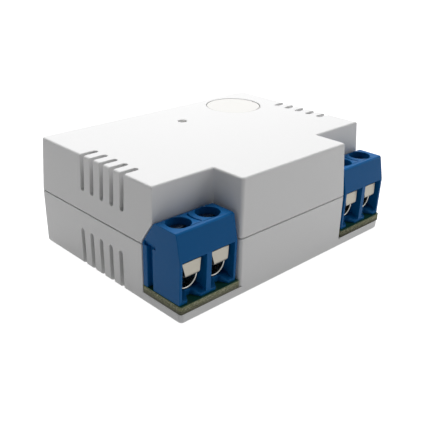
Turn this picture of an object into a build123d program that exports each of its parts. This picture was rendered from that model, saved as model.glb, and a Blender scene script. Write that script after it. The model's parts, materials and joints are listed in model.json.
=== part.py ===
from build123d import *

import math
import os

# Smart relay module: a flat box in two snapped halves, with a two-pole screw terminal block in a bay
# at each front corner. Millimetres. X runs along the length, the wire entries face -Y, Z points up,
# and the origin lies under the middle of the case, on the surface that the case stands on.

# Case
case_length = 44.6
case_width = 33.4
case_height = 17.6
seam_height = 9.0
wall = 1.2
floor_thickness = 1.0
upper_lean = 0.45
lower_lean = 0.05
corner_radius = 0.7
step_radius = 0.5
top_edge_radius = 0.35
bottom_edge_radius = 0.6
seam_gap = 0.16
tongue_height = 0.8
fit_gap = 0.05
loose_gap = 0.15
overcut = 1.0

# Vents at both ends
vent_count = 5
vent_pitch = 2.37
vent_width = 0.88
upper_vent_middle_y = 0.4
lower_vent_middle_y = 0.8
vent_top_run = 3.15
vent_bottom_run = 2.2
upper_vent_drop = 5.4
lower_vent_rise = 6.1

# Snap hooks and posts inside the case
hook_width = 2.4
hook_thickness = 0.8
hook_drop = 3.4
hook_barb = 0.35
barb_height = 1.0
hook_root = 1.4
back_hook_x = 9.0
post_radius = 1.0
post_margin = 1.5
ledge = 1.5

# Circuit board
board_underside = 1.6
board_thickness = 1.2
board_gap = 0.15
board_corner_radius = 0.3
pin_hole_gap = 0.1
pin_tail = 0.4
solder_spread = 0.45

# Screw terminal block
terminal_pitch = 5.08
poles_per_block = 2
block_setback = 0.2
block_side_gap = 0.1
block_depth = 7.6
block_height = 10.1
block_foot_in = 0.2
block_shoulder = 6.3
block_crown_front = 0.75
block_crown_back = 5.1
block_back_shoulder = 6.5
notch_gap = 0.3
entry_width = 4.2
entry_height = 6.15
entry_floor = 1.0
entry_back = 5.35
floor_slope_start = 1.2
floor_front = 0.35
sill_notch_inner = 1.0
sill_notch_outer = 2.3
driver_hole_radius = 1.73
chamber_rise = 7.0
key_width = 1.05
key_depth = 0.35
key_groove_depth = 0.8
key_middle = 6.1
key_height = 6.3
key_head_width = 2.3
key_head_height = 0.6
slit_width = 0.26
slit_depth = 0.4
slit_bulge = 0.32
slit_front = 1.75
slit_back = 4.65
block_edge_cut = 0.2

# Metal parts of one pole
cage_front = 1.6
cage_length = 3.65
cage_radius = 1.95
cage_sheet = 0.3
nut_bottom = 5.6
nut_thickness = 1.0
leaf_front = 0.65
leaf_tilt = 0.25
leaf_thickness = 0.3
leaf_top_width = 3.3
leaf_foot_width = 2.3
leaf_top = 5.6
leaf_foot = 3.4
leaf_reach = 4.3
leaf_bend_radius = 0.24
screw_setback = 3.25
screw_radius = 1.45
screw_head_radius = 1.6
screw_head_height = 1.0
screw_sink = 0.95
screw_slot_width = 0.5
screw_slot_depth = 0.45
screw_head_round = 0.2
screw_tip_cut = 0.36
thread_gap = 0.05
pole_pin_radius = 0.5
pole_pin_setback = 4.2

# Push button and its switch
button_radius = 4.75
button_gap = 0.12
button_sink = 0.05
button_flange = 0.6
button_flange_thickness = 0.6
button_stem_radius = 1.6
button_from_end = 8.9
button_from_back = 6.55
switch_side = 6.2
switch_height = 3.4
switch_plate = 0.3
switch_pocket = 1.3
plunger_radius = 1.7
plunger_above = 1.0
plunger_below = 0.9
switch_leg_radius = 0.35
switch_leg_spread = 2.6

# Status light
light_radius = 0.7
light_flange = 0.6
light_flange_thickness = 0.5
light_edge_cut = 0.12
light_from_back = 8.1
led_size = (2.0, 1.25, 0.8)
led_gap = 0.3

# Power relay
relay_width = 10.2
relay_length = 18.2
relay_headroom = 0.8
relay_wall = 0.7
relay_edge_radius = 0.4
relay_from_front = 0.5
relay_base_height = 1.4
yoke_width = 6.0
yoke_sheet = 0.9
yoke_foot = 3.0
core_radius = 1.5
pole_face_radius = 2.6
pole_face_height = 0.3
bobbin_side = 7.3
bobbin_flange = 0.6
bobbin_wall = 0.5
winding_radius = 3.5
armature_sheet = 0.8
armature_lip = 1.0
armature_room = 2.5
armature_tilt = 4.0
blade_width = 3.6
blade_sheet = 0.3
blade_lip = 0.2
blade_tail = 4.2
blade_tail_gap = 0.15
blade_tail_room = 0.85
contact_from_strip = 1.75
contact_radius = 1.1
moving_contact_height = 0.7
fixed_contact_height = 0.6
fixed_strip = 0.3
fixed_strip_from_cover = 1.15
relay_pin_radius = 0.4
coil_pin_radius = 0.3
coil_pin_x = 3.2
coil_pin_from_bobbin = 1.35

# Parts of the power supply and the radio
part_space = 1.0
close_space = 0.5
big_capacitor_headroom = 2.1
small_capacitor_radius = 2.5
small_capacitor_height = 8.0
capacitor_sleeve = 0.2
capacitor_bung = 0.8
capacitor_groove = 0.35
can_round_share = 0.125
edge_round_share = 0.25
lead_radius = 0.3
choke_radius = 3.0
choke_height = 8.5
choke_flange = 1.0
choke_core_radius = 1.3
resistor_radius = 1.7
resistor_length = 8.5
resistor_lift = 0.4
resistor_bend = 1.2
varistor_radius = 3.5
rectifier_size = (4.7, 3.9, 1.6)
chip_size = (3.9, 5.0, 1.5)
chip_legs_per_side = 4
chip_leg_pitch = 1.27
leg_width = 0.4
leg_reach = 0.8
leg_sheet = 0.2
radio_thickness = 0.8
radio_from_relay = 0.8
shield_height = 1.9
shield_margin = 1.2
shield_round = 0.4
antenna_turns = 4
antenna_line = 0.5
antenna_margin = 2.1
antenna_reach = 3.2
antenna_height = 0.12

# Worked out from the sizes above
half_length = case_length / 2
half_width = case_width / 2
front_y = -half_width
ceiling = case_height - wall
board_top = board_underside + board_thickness
block_length = terminal_pitch * poles_per_block
bay_length = block_side_gap + block_length + key_depth + loose_gap
bay_depth = block_setback + block_depth + loose_gap
notch_depth = block_setback + block_crown_back + notch_gap
step_x = half_length - bay_length
block_front = front_y + block_setback
block_top = board_top + block_height
front_hook_x = (relay_width / 2 + step_x - wall) / 2
relay_height = ceiling - board_top - relay_headroom
relay_inside = relay_length / 2 - relay_wall
pole_top = relay_height - relay_wall - armature_room
yoke_back = relay_inside - blade_tail_room - blade_tail_gap - blade_sheet
core_y = yoke_back - yoke_sheet - loose_gap - bobbin_side / 2
yoke_front = core_y - yoke_foot
armature_front = core_y - pole_face_radius - armature_lip
fixed_strip_y = fixed_strip_from_cover - relay_inside
contact_y = fixed_strip_y + contact_from_strip
blade_front = contact_y - contact_radius - blade_lip
coil_pin_y = core_y - bobbin_side / 2 - coil_pin_from_bobbin
side_room = half_length - wall - relay_width / 2
big_capacitor_radius = (side_room - part_space - close_space * 2) / 2 - choke_radius
big_capacitor_height = ceiling - board_top - big_capacitor_headroom
rectifier_room = rectifier_size[0] + leg_reach * 2 + close_space * 2
varistor_thickness = side_room - part_space * 2 - resistor_radius * 2 - rectifier_room

os.makedirs("parts", exist_ok=True)
nodes = {}
pins = []


def keep(name, shape):
    """Stores one finished piece under its name."""
    nodes[name] = shape


def box_between(low, high):
    """A box from its lowest corner to its highest."""
    size = [b - a for a, b in zip(low, high)]
    middle = [(a + b) / 2 for a, b in zip(low, high)]
    return Pos(*middle) * Box(*size)


def rod(x, y, low, high, radius):
    """An upright round bar."""
    return Pos(x, y, (low + high) / 2) * Cylinder(radius, high - low)


def ring(x, y, low, high, outer, inner):
    """An upright round tube."""
    return rod(x, y, low, high, outer) - rod(x, y, low - overcut, high + overcut, inner)


def prism_along_x(profile, low, high):
    """A solid of constant section along X, from its (y, z) points."""
    face = make_face(Polyline([(low, y, z) for y, z in profile], close=True))
    return extrude(face, amount=high - low, dir=(1, 0, 0))


def prism_along_y(profile, low, high):
    """A solid of constant section along Y, from its (x, z) points."""
    face = make_face(Polyline([(x, low, z) for x, z in profile], close=True))
    return extrude(face, amount=high - low, dir=(0, 1, 0))


def add_pin(x, y, radius):
    """Notes a pin that goes through the board, for its hole and its solder."""
    pins.append((x, y, radius))


# Case halves

def lean_at(z):
    """How far the outer wall stands in from the seam's outline at a height."""
    if z >= seam_height:
        return upper_lean * (z - seam_height) / (case_height - seam_height)
    return lower_lean * (seam_height - z) / seam_height


def stepped_face(z, inward, depth, depth_inward):
    """Plan of the case at a height, moved in by a thickness, with its two front notches."""
    move = lean_at(z) + inward
    x = half_length - move
    back = half_width - move
    front = front_y + move
    notch = front_y + depth + lean_at(z) + depth_inward
    step = step_x - move
    outer = max(corner_radius - inward, 0)
    inner = max(step_radius - inward, 0)
    points = [
        (x, back, z), (-x, back, z), (-x, notch, z), (-step, notch, z),
        (-step, front, z), (step, front, z), (step, notch, z), (x, notch, z),
    ]
    radii = [outer, outer, 0, 0, inner, inner, 0, 0]
    return make_face(FilletPolyline(points, radius=radii, close=True))


def stepped_block(low, high, inward, depth, depth_inward):
    """The solid between two such plans."""
    faces = [stepped_face(z, inward, depth, depth_inward) for z in (low, high)]
    return loft(faces, ruled=True)


def plain_block(low, high):
    """The full rectangle of the base between two heights."""
    faces = []
    for z in (low, high):
        x = half_length - lean_at(z)
        y = half_width - lean_at(z)
        points = [(x, y, z), (-x, y, z), (-x, -y, z), (x, -y, z)]
        faces.append(make_face(FilletPolyline(points, radius=corner_radius, close=True)))
    return loft(faces, ruled=True)


def vent_cutters(middle_y, run, low, high, end_low, end_high, round_z):
    """Slots that run in from both ends over a flat wall, and on along the end wall to a round end."""
    vent_ys = [middle_y + vent_pitch * (i - (vent_count - 1) / 2) for i in range(vent_count)]
    cutters = []
    radius = vent_width / 2
    for side in (-1, 1):
        outside = side * (half_length + overcut)
        inside = side * (half_length - run + radius)
        through = side * (half_length - wall - upper_lean - overcut / 4)
        flat = sorted((outside, inside))
        end = sorted((outside, through))
        for y in vent_ys:
            cutters.append(box_between((flat[0], y - radius, low), (flat[1], y + radius, high)))
            cutters.append(rod(inside, y, low, high, radius))
            cutters.append(box_between((end[0], y - radius, end_low), (end[1], y + radius, end_high)))
            turned = Pos((end[0] + end[1]) / 2, y, round_z) * Rot(0, 90, 0)
            cutters.append(turned * Cylinder(radius, end[1] - end[0]))
    return cutters


def bay_profile():
    """Side view of the room that the upper half leaves for a terminal block."""
    outside = front_y - overcut
    crown_back = block_front + block_crown_back
    back = front_y + bay_depth
    shoulder = board_top + block_back_shoulder
    below = seam_height - overcut
    top = block_top + loose_gap
    return [
        (outside, below), (outside, top), (crown_back + loose_gap, top),
        (back, shoulder + loose_gap), (back, below),
    ]


def hook_places():
    """Where the snap hooks stand: their X and the side of the case that they catch."""
    return [(-back_hook_x, 1), (back_hook_x, 1), (-front_hook_x, -1), (front_hook_x, -1)]


def hook(x, side):
    """A snap hook that hangs from the upper half inside the lower wall."""
    foot = seam_height - hook_drop
    face = half_width - wall - lower_lean - fit_gap
    root = seam_height + tongue_height + hook_root
    top = root + hook_root
    half = hook_width / 2
    points = [
        (side * (face - hook_thickness), foot), (side * face, foot),
        (side * (face + hook_barb), foot + barb_height / 2), (side * (face + hook_barb), foot + barb_height),
        (side * face, foot + barb_height), (side * face, root),
        (side * (half_width - wall / 2 - lean_at(top)), root),
        (side * (half_width - wall / 2 - lean_at(top)), top),
        (side * (face - hook_thickness), top),
    ]
    return prism_along_x(points, x - half, x + half)


def hook_pocket(x, side):
    """The pocket in the lower wall that the hook's barb catches in."""
    foot = seam_height - hook_drop
    face = half_width - wall - lower_lean - fit_gap
    half = hook_width / 2 + loose_gap
    ys = sorted((side * (face - overcut / 4), side * (face + hook_barb + fit_gap * 2)))
    return box_between(
        (x - half, ys[0], foot - loose_gap), (x + half, ys[1], foot + barb_height + fit_gap))


def post_places():
    """Corners of the board that are held between the two halves."""
    x = half_length - wall - post_margin
    y = half_width - wall - post_margin
    return [(-x, y), (x, y)]


def make_upper_shell():
    low = seam_height + seam_gap / 2
    shell = stepped_block(low, case_height, 0, notch_depth, 0)
    rim = shell.faces().sort_by(Axis.Z)[-1].edges()
    shell = fillet(rim, top_edge_radius)
    shell -= stepped_block(low - overcut, ceiling, wall, notch_depth, wall)
    recess = wall / 2 - fit_gap
    shell -= stepped_block(low - overcut, seam_height + tongue_height, recess, notch_depth, recess)
    for side in (-1, 1):
        ends = sorted((side * step_x, side * (half_length + overcut)))
        shell -= prism_along_x(bay_profile(), ends[0], ends[1])
    for x, y in post_places():
        shell += rod(x, y, board_top, ceiling + wall / 2, post_radius)
    for x, side in hook_places():
        shell += hook(x, side)
    shell -= rod(button_x, button_y, ceiling - overcut, case_height + overcut, button_radius + button_gap)
    shell -= rod(0, light_y, ceiling - overcut, case_height + overcut, light_radius + fit_gap)
    slot_end = case_height - upper_vent_drop
    radius = vent_width / 2
    for cutter in vent_cutters(upper_vent_middle_y, vent_top_run, ceiling - overcut / 2,
                               case_height + overcut, slot_end + radius, case_height + overcut,
                               slot_end + radius):
        shell -= cutter
    keep("upper_shell", shell)


def make_lower_shell():
    high = seam_height - seam_gap / 2
    base = plain_block(0, board_underside)
    base = fillet(base.faces().sort_by(Axis.Z)[0].edges(), bottom_edge_radius)
    shell = base + stepped_block(board_underside - overcut / 2, high, 0, bay_depth, 0)
    tongue = stepped_block(high - overcut, seam_height + tongue_height, wall / 2, bay_depth, 0)
    shell += tongue
    above = seam_height + tongue_height + overcut
    shell -= stepped_block(floor_thickness, above, wall, bay_depth, -loose_gap)
    for side in (-1, 1):
        xs = sorted((side * (step_x + ledge), side * (half_length - ledge)))
        shell -= box_between((xs[0], front_y + ledge, floor_thickness),
                             (xs[1], front_y + bay_depth + overcut, board_underside + overcut))
    for x, side in hook_places():
        shell -= hook_pocket(x, side)
    for x, y in post_places():
        shell += rod(x, y, floor_thickness / 2, board_underside, post_radius)
    slot_end = lower_vent_rise - vent_width / 2
    for cutter in vent_cutters(lower_vent_middle_y, vent_bottom_run, -overcut,
                               floor_thickness + overcut / 2, -overcut, slot_end, slot_end):
        shell -= cutter
    keep("lower_shell", shell)


# Terminal blocks

def block_profile():
    """Side view of a terminal block, in the row's Y and Z."""
    y = block_front
    return [
        (y + block_foot_in, board_top), (y, board_top + block_shoulder),
        (y + block_crown_front, block_top), (y + block_crown_back, block_top),
        (y + block_depth, board_top + block_back_shoulder), (y + block_depth, board_top),
    ]


def key_shape(x, stem_end, bar_end, gap):
    """The T-shaped key that links one block to the next, as a rib or as a groove."""
    y = block_front + key_middle
    half = key_width / 2 + gap
    head = key_head_width / 2 + gap
    top = board_top + key_height
    stem = box_between((x, y - half, board_top), (stem_end, y + half, top + gap))
    bar = box_between((x, y - head, top), (bar_end, y + head, top + key_head_height + gap))
    return stem + bar


def pole_xs(left):
    """Middles of the poles of a block whose left side is given."""
    return [left + terminal_pitch * (i + 0.5) for i in range(poles_per_block)]


def slit(left):
    """The curved slit in the crown between two poles."""
    x = left + block_length / 2
    front = block_front + slit_front
    back = block_front + slit_back
    middle = (front + back) / 2
    wide = x + slit_width
    near = ThreePointArc((x, front), (x - slit_bulge, middle), (x, back))
    far = ThreePointArc((wide, back), (wide - slit_bulge, middle), (wide, front))
    outline = [near, Line((x, back), (wide, back)), far, Line((wide, front), (x, front))]
    face = make_face(outline)
    return Pos(0, 0, block_top - slit_depth) * extrude(face, amount=slit_depth + overcut)


def pole_cutters(x):
    """Wire entry, chamber, screwdriver hole and sill notch of one pole."""
    half = entry_width / 2
    floor = board_top + entry_floor
    front = block_front - overcut
    back = block_front + entry_back
    entry_top = board_top + entry_height
    room = prism_along_x([
        (front, board_top + floor_front), (block_front, board_top + floor_front),
        (block_front + floor_slope_start, floor), (back, floor), (back, entry_top), (front, entry_top),
    ], x - half, x + half)
    chamber = box_between(
        (x - half, block_front + cage_front - loose_gap, floor), (x + half, back, board_top + chamber_rise))
    screw_y = block_front + screw_setback
    hole = rod(x, screw_y, entry_top, block_top + overcut, driver_hole_radius)
    pin_y = block_front + pole_pin_setback
    pin = rod(x, pin_y, board_top - overcut, floor + overcut, pole_pin_radius + pin_hole_gap)
    outer = sill_notch_outer / 2
    inner = sill_notch_inner / 2
    points = [(x - outer, front), (x + outer, front), (x + outer, block_front + block_foot_in),
              (x + inner, block_front + cage_front), (x - inner, block_front + cage_front),
              (x - outer, block_front + block_foot_in)]
    sill = make_face(Polyline(points, close=True))
    notch = Pos(0, 0, board_top - overcut) * extrude(sill, amount=entry_floor + overcut * 2)
    return [room, chamber, hole, pin, notch]


def make_cage(name, x):
    """The plated cage round a pole's wire, its nut on top and its pin through the board."""
    floor = board_top + entry_floor
    front = block_front + cage_front
    middle = floor + fit_gap + cage_radius
    nut_low = board_top + nut_bottom
    nut_high = nut_low + nut_thickness

    def trough(radius):
        """A round-bottomed channel of a radius, open at the top."""
        round_part = Pos(x, front + cage_length / 2, middle) * Rot(90, 0, 0) * Cylinder(radius, cage_length)
        upper = box_between((x - radius, front, middle), (x + radius, front + cage_length, nut_high))
        return round_part + upper

    hollow = trough(cage_radius - cage_sheet)
    nut = box_between((x - cage_radius, front, nut_low), (x + cage_radius, front + cage_length, nut_high))
    screw_y = block_front + screw_setback
    cage = trough(cage_radius) - hollow + nut
    cage -= rod(x, screw_y, nut_low - overcut, nut_high + overcut, screw_radius + thread_gap)
    pin_y = block_front + pole_pin_setback
    cage += rod(x, pin_y, board_underside - pin_tail, floor + fit_gap + cage_sheet / 2, pole_pin_radius)
    add_pin(x, pin_y, pole_pin_radius)
    keep(name, cage)


def make_leaf(name, x):
    """The pressed leaf that hangs behind the wire entry and lies under the screw's tip."""
    front = block_front + leaf_front
    low_front = front - leaf_tilt
    back = front + leaf_reach
    foot = board_top + leaf_foot
    top = board_top + leaf_top
    wide = leaf_top_width / 2
    narrow = leaf_foot_width / 2
    side = [
        (front, top), (low_front, foot), (back, foot), (back, foot + leaf_thickness),
        (low_front + leaf_thickness, foot + leaf_thickness), (front + leaf_thickness, top),
    ]
    radii = [0, leaf_bend_radius + leaf_thickness, 0, 0, leaf_bend_radius, 0]
    outline = FilletPolyline([(x - wide, y, z) for y, z in side], radius=radii, close=True)
    sheet = extrude(make_face(outline), amount=wide * 2, dir=(1, 0, 0))
    width = [(x - narrow, foot), (x + narrow, foot), (x + wide, top), (x - wide, top)]
    keep(name, sheet & prism_along_y(width, low_front - overcut, back + overcut))


def make_screw(name, x):
    """The slotted clamping screw of one pole, turned right up."""
    y = block_front + screw_setback
    head_top = block_top - screw_sink
    head_low = head_top - screw_head_height
    tip = board_top + leaf_foot + leaf_thickness
    head = rod(x, y, head_low, head_top, screw_head_radius)
    head = fillet(head.edges().sort_by(Axis.Z)[-1], screw_head_round)
    slot_half = screw_slot_width / 2
    reach = screw_head_radius + overcut
    slot_low = head_top - screw_slot_depth
    head -= box_between((x - reach, y - slot_half, slot_low), (x + reach, y + slot_half, head_top + overcut))
    shank = rod(x, y, tip, head_low, screw_radius)
    shank = chamfer(shank.edges().sort_by(Axis.Z)[0], screw_tip_cut)
    keep(name, head + shank)


def make_block(side_name, left):
    """One two-pole block: its housing and the metal of its poles."""
    housing = prism_along_x(block_profile(), left, left + block_length)
    housing = chamfer(housing.edges().filter_by(Axis.X).sort_by(Axis.Z)[-2:], block_edge_cut)
    right = left + block_length
    housing -= key_shape(left - overcut, left + key_groove_depth, left + key_depth, fit_gap)
    housing += key_shape(right, right + key_depth, right + key_depth, 0)
    housing -= slit(left)
    for number, x in enumerate(pole_xs(left), start=1):
        for cutter in pole_cutters(x):
            housing -= cutter
        pole = f"{side_name}_{number}"
        make_cage(f"contact_cage_{pole}", x)
        make_leaf(f"clamp_leaf_{pole}", x)
        make_screw(f"clamp_screw_{pole}", x)
    keep(f"terminal_housing_{side_name}", housing)


# Push button and status light

def make_button():
    """The round cap in the lid, which rests on the switch's plunger."""
    top = case_height - button_sink
    flange_top = ceiling - fit_gap
    flange_low = flange_top - button_flange_thickness
    cap = rod(button_x, button_y, flange_low, top, button_radius)
    cap = fillet(cap.edges().sort_by(Axis.Z)[-1], button_gap)
    flange = rod(button_x, button_y, flange_low, flange_top, button_radius + button_flange)
    wall_y = half_width - wall - upper_lean - loose_gap
    flange -= box_between((0, wall_y, flange_low - overcut), (half_length, half_width, flange_top + overcut))
    cap += flange
    plunger_top = board_top + switch_height + plunger_above
    cap += rod(button_x, button_y, plunger_top, flange_low + button_flange_thickness / 2, button_stem_radius)
    keep("button_cap", cap)


def make_switch():
    """The square switch on the board under the button."""
    top = board_top + switch_height
    half = switch_side / 2
    hole = plunger_radius + fit_gap
    body = box_between((button_x - half, button_y - half, board_top),
                       (button_x + half, button_y + half, top - switch_plate))
    body -= rod(button_x, button_y, top - switch_pocket, top + overcut, hole)
    keep("switch_body", body)
    plate = box_between((button_x - half, button_y - half, top - switch_plate),
                        (button_x + half, button_y + half, top))
    plate -= rod(button_x, button_y, top - overcut, top + overcut, hole)
    keep("switch_plate", plate)
    keep("switch_plunger", rod(button_x, button_y, top - plunger_below, top + plunger_above, plunger_radius))
    legs = []
    for dx in (-switch_leg_spread, switch_leg_spread):
        for dy in (-switch_leg_spread, switch_leg_spread):
            x = button_x + dx
            y = button_y + dy
            legs.append(rod(x, y, board_underside - pin_tail, board_top, switch_leg_radius))
            add_pin(x, y, switch_leg_radius)
    keep("switch_legs", Compound(legs))


def make_light():
    """The light guide in the lid and the small lamp under it."""
    led_low = (-led_size[0] / 2, light_y - led_size[1] / 2, board_top)
    led_high = (led_size[0] / 2, light_y + led_size[1] / 2, board_top + led_size[2])
    keep("status_led", box_between(led_low, led_high))
    guide = rod(0, light_y, board_top + led_size[2] + led_gap, case_height, light_radius)
    guide = chamfer(guide.edges().sort_by(Axis.Z)[-1], light_edge_cut)
    guide += rod(0, light_y, ceiling - light_flange_thickness, ceiling, light_radius + light_flange)
    keep("light_guide", guide)


# Power relay

def make_relay():
    """The sealed relay: coil, yoke, hinged armature and one pair of contacts."""
    place = Pos(relay_x, relay_y, board_top)
    base_side = relay_width - relay_wall * 2 - fit_gap * 2
    base_length = relay_length - relay_wall * 2 - fit_gap * 2
    low = board_underside - pin_tail - board_top
    high = pole_top + fit_gap / 2

    cover = Pos(0, 0, relay_height / 2) * Box(relay_width, relay_length, relay_height)
    cover = fillet(cover.edges().filter_by(Axis.Z), relay_edge_radius)
    cover = fillet(cover.faces().sort_by(Axis.Z)[-1].edges(), relay_edge_radius)
    room = (relay_width - relay_wall * 2, relay_length - relay_wall * 2, relay_height - relay_wall)
    cover -= Pos(0, 0, room[2] / 2 - overcut / 2) * Box(room[0], room[1], room[2] + overcut)
    keep("relay_cover", place * cover)

    base = Pos(0, 0, relay_base_height / 2) * Box(base_side, base_length, relay_base_height)
    yoke_pin_y = yoke_back - yoke_sheet / 2
    relay_pins = [
        (0, yoke_pin_y, relay_pin_radius), (0, fixed_strip_y, relay_pin_radius),
        (-coil_pin_x, coil_pin_y, coil_pin_radius), (coil_pin_x, coil_pin_y, coil_pin_radius),
    ]
    for x, y, radius in relay_pins:
        base -= rod(x, y, -overcut, relay_base_height + overcut, radius + fit_gap)
        add_pin(relay_x + x, relay_y + y, radius)
    keep("relay_base", place * base)

    half = yoke_width / 2
    foot = box_between((-half, yoke_front, relay_base_height),
                       (half, yoke_back, relay_base_height + yoke_sheet))
    upright = box_between((-half, yoke_back - yoke_sheet, relay_base_height), (half, yoke_back, pole_top))
    yoke = foot + upright - rod(0, core_y, 0, relay_base_height + overcut * 2, core_radius + fit_gap)
    yoke += rod(0, yoke_pin_y, low, relay_base_height + yoke_sheet / 2, relay_pin_radius)
    keep("relay_yoke", place * yoke)

    core = rod(0, core_y, relay_base_height, pole_top, core_radius)
    core += rod(0, core_y, pole_top - pole_face_height, pole_top, pole_face_radius)
    keep("relay_core", place * core)

    bobbin_low = relay_base_height + yoke_sheet + fit_gap
    bobbin_high = pole_top - pole_face_height - fit_gap
    spool = rod(0, core_y, bobbin_low, bobbin_high, core_radius + fit_gap + bobbin_wall)
    for z in (bobbin_low, bobbin_high - bobbin_flange):
        spool += Pos(0, core_y, z + bobbin_flange / 2) * Box(bobbin_side, bobbin_side, bobbin_flange)
    spool -= rod(0, core_y, 0, relay_height, core_radius + fit_gap)
    keep("relay_bobbin", place * spool)
    coil = ring(0, core_y, bobbin_low + bobbin_flange, bobbin_high - bobbin_flange,
                winding_radius, core_radius + fit_gap + bobbin_wall)
    keep("relay_winding", place * coil)

    coil_pins = [rod(x, coil_pin_y, low, bobbin_low + bobbin_flange, coil_pin_radius)
                 for x in (-coil_pin_x, coil_pin_x)]
    keep("relay_coil_pins", place * Compound(coil_pins))

    plate_high = high + armature_sheet
    blade_high = plate_high + blade_sheet
    tilt = Pos(0, yoke_back, high) * Rot(-armature_tilt, 0, 0) * Pos(0, -yoke_back, -high)
    armature = box_between((-half, armature_front, high), (half, yoke_back, plate_high))
    keep("relay_armature", place * tilt * armature)
    blade_half = blade_width / 2
    blade = tilt * box_between((-blade_half, blade_front, plate_high),
                               (blade_half, yoke_back + blade_tail_gap + blade_sheet, blade_high))
    tail_y = yoke_back + blade_tail_gap
    blade += box_between((-blade_half, tail_y, pole_top - blade_tail),
                         (blade_half, tail_y + blade_sheet, plate_high + blade_sheet / 2))
    keep("contact_blade", place * blade)
    moving = rod(0, contact_y, plate_high - moving_contact_height, plate_high, contact_radius)
    keep("moving_contact", place * tilt * moving)

    fixed_top = plate_high - moving_contact_height - fit_gap / 2
    strip_top = fixed_top - fixed_contact_height
    strip_half = contact_radius + fixed_strip
    strip = box_between((-strip_half, fixed_strip_y - fixed_strip / 2, relay_base_height),
                        (strip_half, fixed_strip_y + fixed_strip / 2, strip_top))
    strip += box_between((-strip_half, fixed_strip_y - fixed_strip / 2, strip_top - fixed_strip),
                         (strip_half, contact_y + contact_radius, strip_top))
    strip += rod(0, fixed_strip_y, low, relay_base_height + fixed_strip, relay_pin_radius)
    keep("fixed_contact_strip", place * strip)
    keep("fixed_contact", place * rod(0, contact_y, strip_top, fixed_top, contact_radius))


# Power supply and radio

def make_capacitor(name, x, y, radius, height):
    """A standing electrolytic capacitor: can, printed sleeve, rubber bung and two leads."""
    low = board_top
    high = board_top + height
    inner = radius - capacitor_sleeve
    can = rod(x, y, low + capacitor_bung, high, inner)
    can = fillet(can.edges().sort_by(Axis.Z)[-1], radius * can_round_share)
    crimp = low + capacitor_bung * 2
    can -= ring(x, y, crimp, crimp + capacitor_groove, radius + overcut, inner - capacitor_groove)
    keep(f"{name}_can", can)
    sleeve_top = high - radius * can_round_share
    keep(f"{name}_sleeve", ring(x, y, low + capacitor_bung, sleeve_top, radius, inner))
    keep(f"{name}_bung", rod(x, y, low, low + capacitor_bung, inner))
    leads = []
    for dx in (-radius / 2, radius / 2):
        leads.append(rod(x + dx, y, board_underside - pin_tail, low, lead_radius))
        add_pin(x + dx, y, lead_radius)
    keep(f"{name}_leads", Compound(leads))


def make_choke(x, y):
    """A drum choke: a ferrite spool with its wire."""
    high = board_top + choke_height
    core = rod(x, y, board_top, high, choke_core_radius)
    core += rod(x, y, board_top, board_top + choke_flange, choke_radius)
    core += rod(x, y, high - choke_flange, high, choke_radius)
    keep("choke_core", core)
    keep("choke_winding", ring(x, y, board_top + choke_flange, high - choke_flange,
                               choke_radius - capacitor_sleeve, choke_core_radius))


def bent_lead(x, y, end_y, z):
    """A wire from a lying part's end, bent down through the board."""
    points = [(x, y, z), (x, end_y, z), (x, end_y, board_underside - pin_tail)]
    path = FilletPolyline(points, radius=lead_radius * 2)
    section = Plane(origin=path @ 0, z_dir=path % 0) * Circle(lead_radius)
    return sweep(section, path=path)


def make_fuse_resistor(x, y):
    """A lying wire-wound fuse resistor with bent leads."""
    z = board_top + resistor_lift + resistor_radius
    half = resistor_length / 2
    body = Pos(x, y, z) * Rot(90, 0, 0) * Cylinder(resistor_radius, resistor_length)
    keep("fuse_resistor", fillet(body.edges(), resistor_radius * edge_round_share))
    leads = []
    for side in (-1, 1):
        end_y = y + side * (half + resistor_bend)
        leads.append(bent_lead(x, y + side * half, end_y, z))
        add_pin(x, end_y, lead_radius)
    keep("fuse_resistor_leads", Compound(leads))


def make_varistor(x, y):
    """A standing disc varistor on two leads."""
    z = board_top + resistor_lift + varistor_radius
    disc = Pos(x, y, z) * Rot(0, 90, 0) * Cylinder(varistor_radius, varistor_thickness)
    keep("varistor", fillet(disc.edges(), varistor_thickness * edge_round_share))
    leads = []
    for dy in (-varistor_radius / 2, varistor_radius / 2):
        top = z - math.sqrt(varistor_radius ** 2 - (abs(dy) - lead_radius) ** 2)
        leads.append(rod(x, y + dy, board_underside - pin_tail, top, lead_radius))
        add_pin(x, y + dy, lead_radius)
    keep("varistor_leads", Compound(leads))


def gull_legs(x, y, size, count, pitch):
    """Flat legs down both sides of a chip."""
    legs = []
    for side in (-1, 1):
        xs = sorted((x + side * size[0] / 2, x + side * (size[0] / 2 + leg_reach)))
        for i in range(count):
            leg_y = y + pitch * (i - (count - 1) / 2)
            legs.append(box_between((xs[0], leg_y - leg_width / 2, board_top),
                                    (xs[1], leg_y + leg_width / 2, board_top + leg_sheet)))
    return Compound(legs)


def make_chip(name, x, y, size, count, pitch):
    """A moulded chip on the board, with its legs."""
    body = box_between((x - size[0] / 2, y - size[1] / 2, board_top),
                       (x + size[0] / 2, y + size[1] / 2, board_top + size[2]))
    keep(name, chamfer(body.faces().sort_by(Axis.Z)[-1].edges(), leg_sheet))
    keep(f"{name}_legs", gull_legs(x, y, size, count, pitch))


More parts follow.
